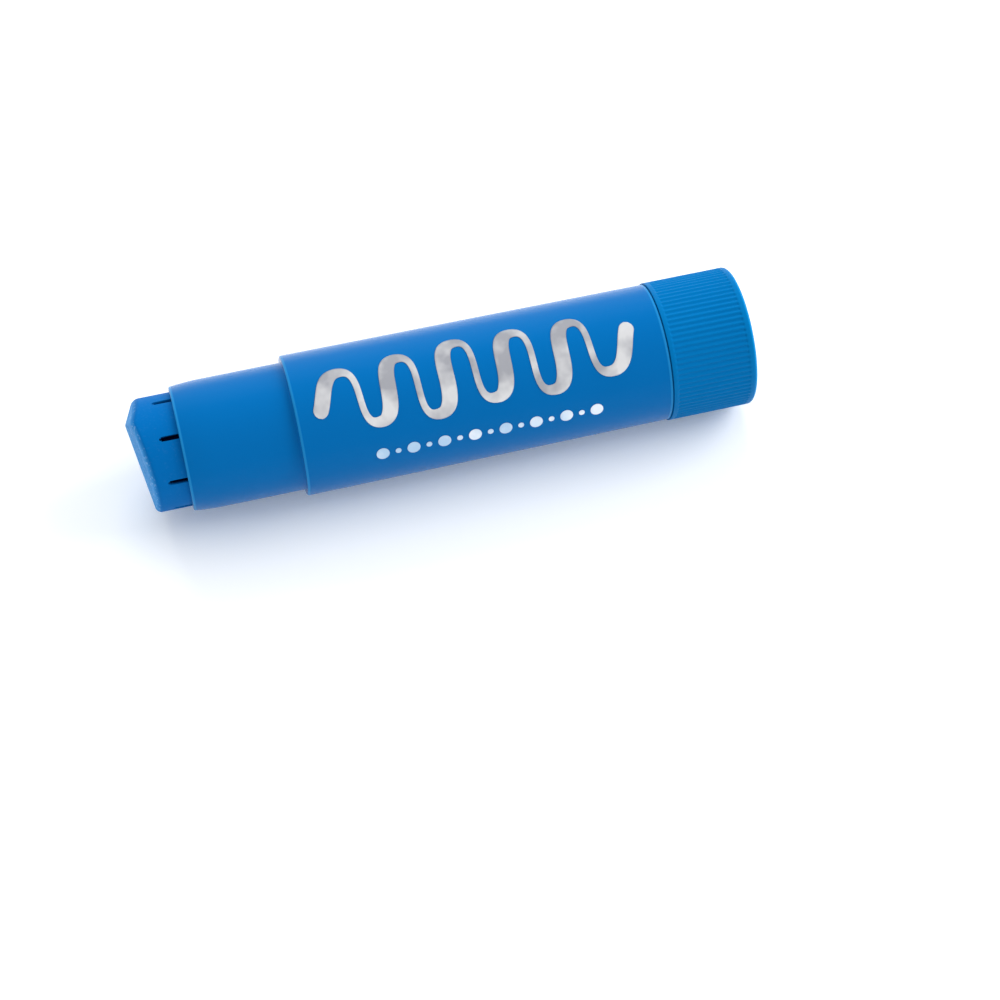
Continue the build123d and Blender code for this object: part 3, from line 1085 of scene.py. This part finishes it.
def place_camera(studio):
    """The camera beside the lying stick: tilted along it, rolled, and aimed off its axis."""
    data = bpy.data.cameras.new("camera")
    data.lens = studio.lens
    data.sensor_width = 36
    camera = bpy.data.objects.new("camera", data)
    bpy.context.collection.objects.link(camera)
    back = Vector((0, -math.cos(studio.tilt), math.sin(studio.tilt)))
    along = Vector((0, -math.sin(studio.tilt), -math.cos(studio.tilt)))
    aside = Vector((1, 0, 0))
    right = along * math.cos(studio.roll) - aside * math.sin(studio.roll)
    up = along * math.sin(studio.roll) + aside * math.cos(studio.roll)
    axes = Matrix((right, up, back)).transposed()
    aim = Vector((studio.aim_x, 0, studio.aim_z))
    camera.matrix_world = Matrix.Translation(aim + back * studio.distance) @ axes.to_4x4()
    bpy.context.scene.camera = camera
    return camera


def seen_rays(tree):
    """1 for the rays that show a background: to the camera, or by way of a gloss or a clear piece."""
    rays = node(tree, "ShaderNodeLightPath").outputs
    direct = maths(tree, "MAXIMUM", rays["Is Camera Ray"], rays["Is Glossy Ray"])
    return maths(tree, "MAXIMUM", direct, rays["Is Transmission Ray"])


def table_material(glow):
    """A white table top, seen from its front only, that keeps the stick's shadow."""
    material = bpy.data.materials.new("table_top")
    material.use_nodes = True
    tree = material.node_tree
    shader = tree.nodes["Principled BSDF"]
    shader.inputs["Base Color"].default_value = TABLE_WHITE
    shader.inputs["Roughness"].default_value = 0.5
    shader.inputs["Emission Color"].default_value = TABLE_SHADE_GLOW
    tree.links.new(maths(tree, "MULTIPLY", seen_rays(tree), glow), shader.inputs["Emission Strength"])
    side = node(tree, "ShaderNodeNewGeometry")
    clear = node(tree, "ShaderNodeBsdfTransparent")
    both = node(tree, "ShaderNodeMixShader")
    tree.links.new(side.outputs["Backfacing"], both.inputs[0])
    tree.links.new(shader.outputs[0], both.inputs[1])
    tree.links.new(clear.outputs[0], both.inputs[2])
    tree.links.new(both.outputs[0], tree.nodes["Material Output"].inputs["Surface"])
    return material


def area_light(name, power, size, place, target):
    """A square soft light that faces a point."""
    data = bpy.data.lights.new(name, "AREA")
    data.energy = power
    data.size = size
    lamp = bpy.data.objects.new(name, data)
    bpy.context.collection.objects.link(lamp)
    lamp.location = place
    lamp.rotation_mode = "QUATERNION"
    lamp.rotation_quaternion = (Vector(target) - Vector(place)).to_track_quat("-Z", "Y")
    lamp.visible_glossy = False
    return lamp


class STICK_OT_stage(bpy.types.Operator):
    """Sets the camera, the table top that the stick lies on, the lights and the white surroundings"""

    bl_idname = "stick.stage"
    bl_label = "Set stage"

    def execute(self, context):
        studio = settings("studio")
        scene = context.scene
        scene.view_settings.view_transform = "Standard"
        place_camera(studio)
        facing = Vector((math.cos(studio.table_angle), math.sin(studio.table_angle), 0))
        middle = Vector((0, 0, (CAD_BOX[0][2] + CAD_BOX[1][2]) / 2))
        foot = middle - facing * FRONT_RADIUS
        up = Vector((0, 0, 1))
        sideways = up.cross(facing)
        corners = []
        for across, high in ((-1, -1), (1, -1), (1, 1), (-1, 1)):
            corners.append(foot + (sideways * across + up * high) * studio.table_reach)
        mesh = bpy.data.meshes.new("table_top")
        mesh.from_pydata([tuple(c) for c in corners], [], [(0, 1, 2, 3)])
        mesh.materials.append(table_material(studio.table_glow))
        link("table_top", mesh)
        over = facing * math.cos(studio.light_lean)
        lights = (
            ("far_light", studio.far_power, sideways),
            ("knob_light", studio.knob_power, -up),
        )
        for name, power, side in lights:
            place = middle + (over + side * math.sin(studio.light_lean)) * studio.light_distance
            area_light(name, power, studio.light_size, place, middle)
        world = bpy.data.worlds.new("studio")
        world.use_nodes = True
        tree = world.node_tree
        sky = tree.nodes["Background"]
        sky.inputs["Color"].default_value = (1, 1, 1, 1)
        sky.inputs["Strength"].default_value = studio.world_level
        shown = node(tree, "ShaderNodeBackground", {"Color": (1, 1, 1, 1), "Strength": 1.0})
        both = node(tree, "ShaderNodeMixShader")
        tree.links.new(seen_rays(tree), both.inputs[0])
        tree.links.new(sky.outputs[0], both.inputs[1])
        tree.links.new(shown.outputs[0], both.inputs[2])
        tree.links.new(both.outputs[0], tree.nodes["World Output"].inputs["Surface"])
        scene.world = world
        return {"FINISHED"}


class STICK_PT_panel(bpy.types.Panel):
    """Lists the steps that build the paint stick"""

    bl_idname = "STICK_PT_panel"
    bl_label = "Paint Stick"
    bl_space_type = "VIEW_3D"
    bl_region_type = "UI"
    bl_category = "Paint Stick"

    def draw(self, context):
        for step in STEPS:
            self.layout.operator(step.bl_idname)


GROUPS = {
    "barrel": BarrelSizes,
    "knob": KnobSizes,
    "paint": PaintSizes,
    "foil": FoilSizes,
    "studio": StudioSettings,
}
STEPS = (
    STICK_OT_stage,
    STICK_OT_barrel,
    STICK_OT_knob,
    STICK_OT_paint,
    STICK_OT_mechanism,
    STICK_OT_foil,
)


def register():
    """Registers the settings, the operators and the panel."""
    for name, group in GROUPS.items():
        bpy.utils.register_class(group)
        setattr(bpy.types.Scene, "stick_" + name, bpy.props.PointerProperty(type=group))
    for kind in STEPS + (STICK_PT_panel,):
        bpy.utils.register_class(kind)


def unregister():
    """Takes back all that register added."""
    for kind in reversed(STEPS + (STICK_PT_panel,)):
        bpy.utils.unregister_class(kind)
    for name, group in reversed(GROUPS.items()):
        delattr(bpy.types.Scene, "stick_" + name)
        bpy.utils.unregister_class(group)


def main():
    """Builds the whole scene."""
    register()
    bpy.ops.stick.stage()
    bpy.ops.stick.barrel()
    bpy.ops.stick.knob()
    bpy.ops.stick.paint()
    bpy.ops.stick.mechanism()
    bpy.ops.stick.foil()


if __name__ == "__main__":
    main()
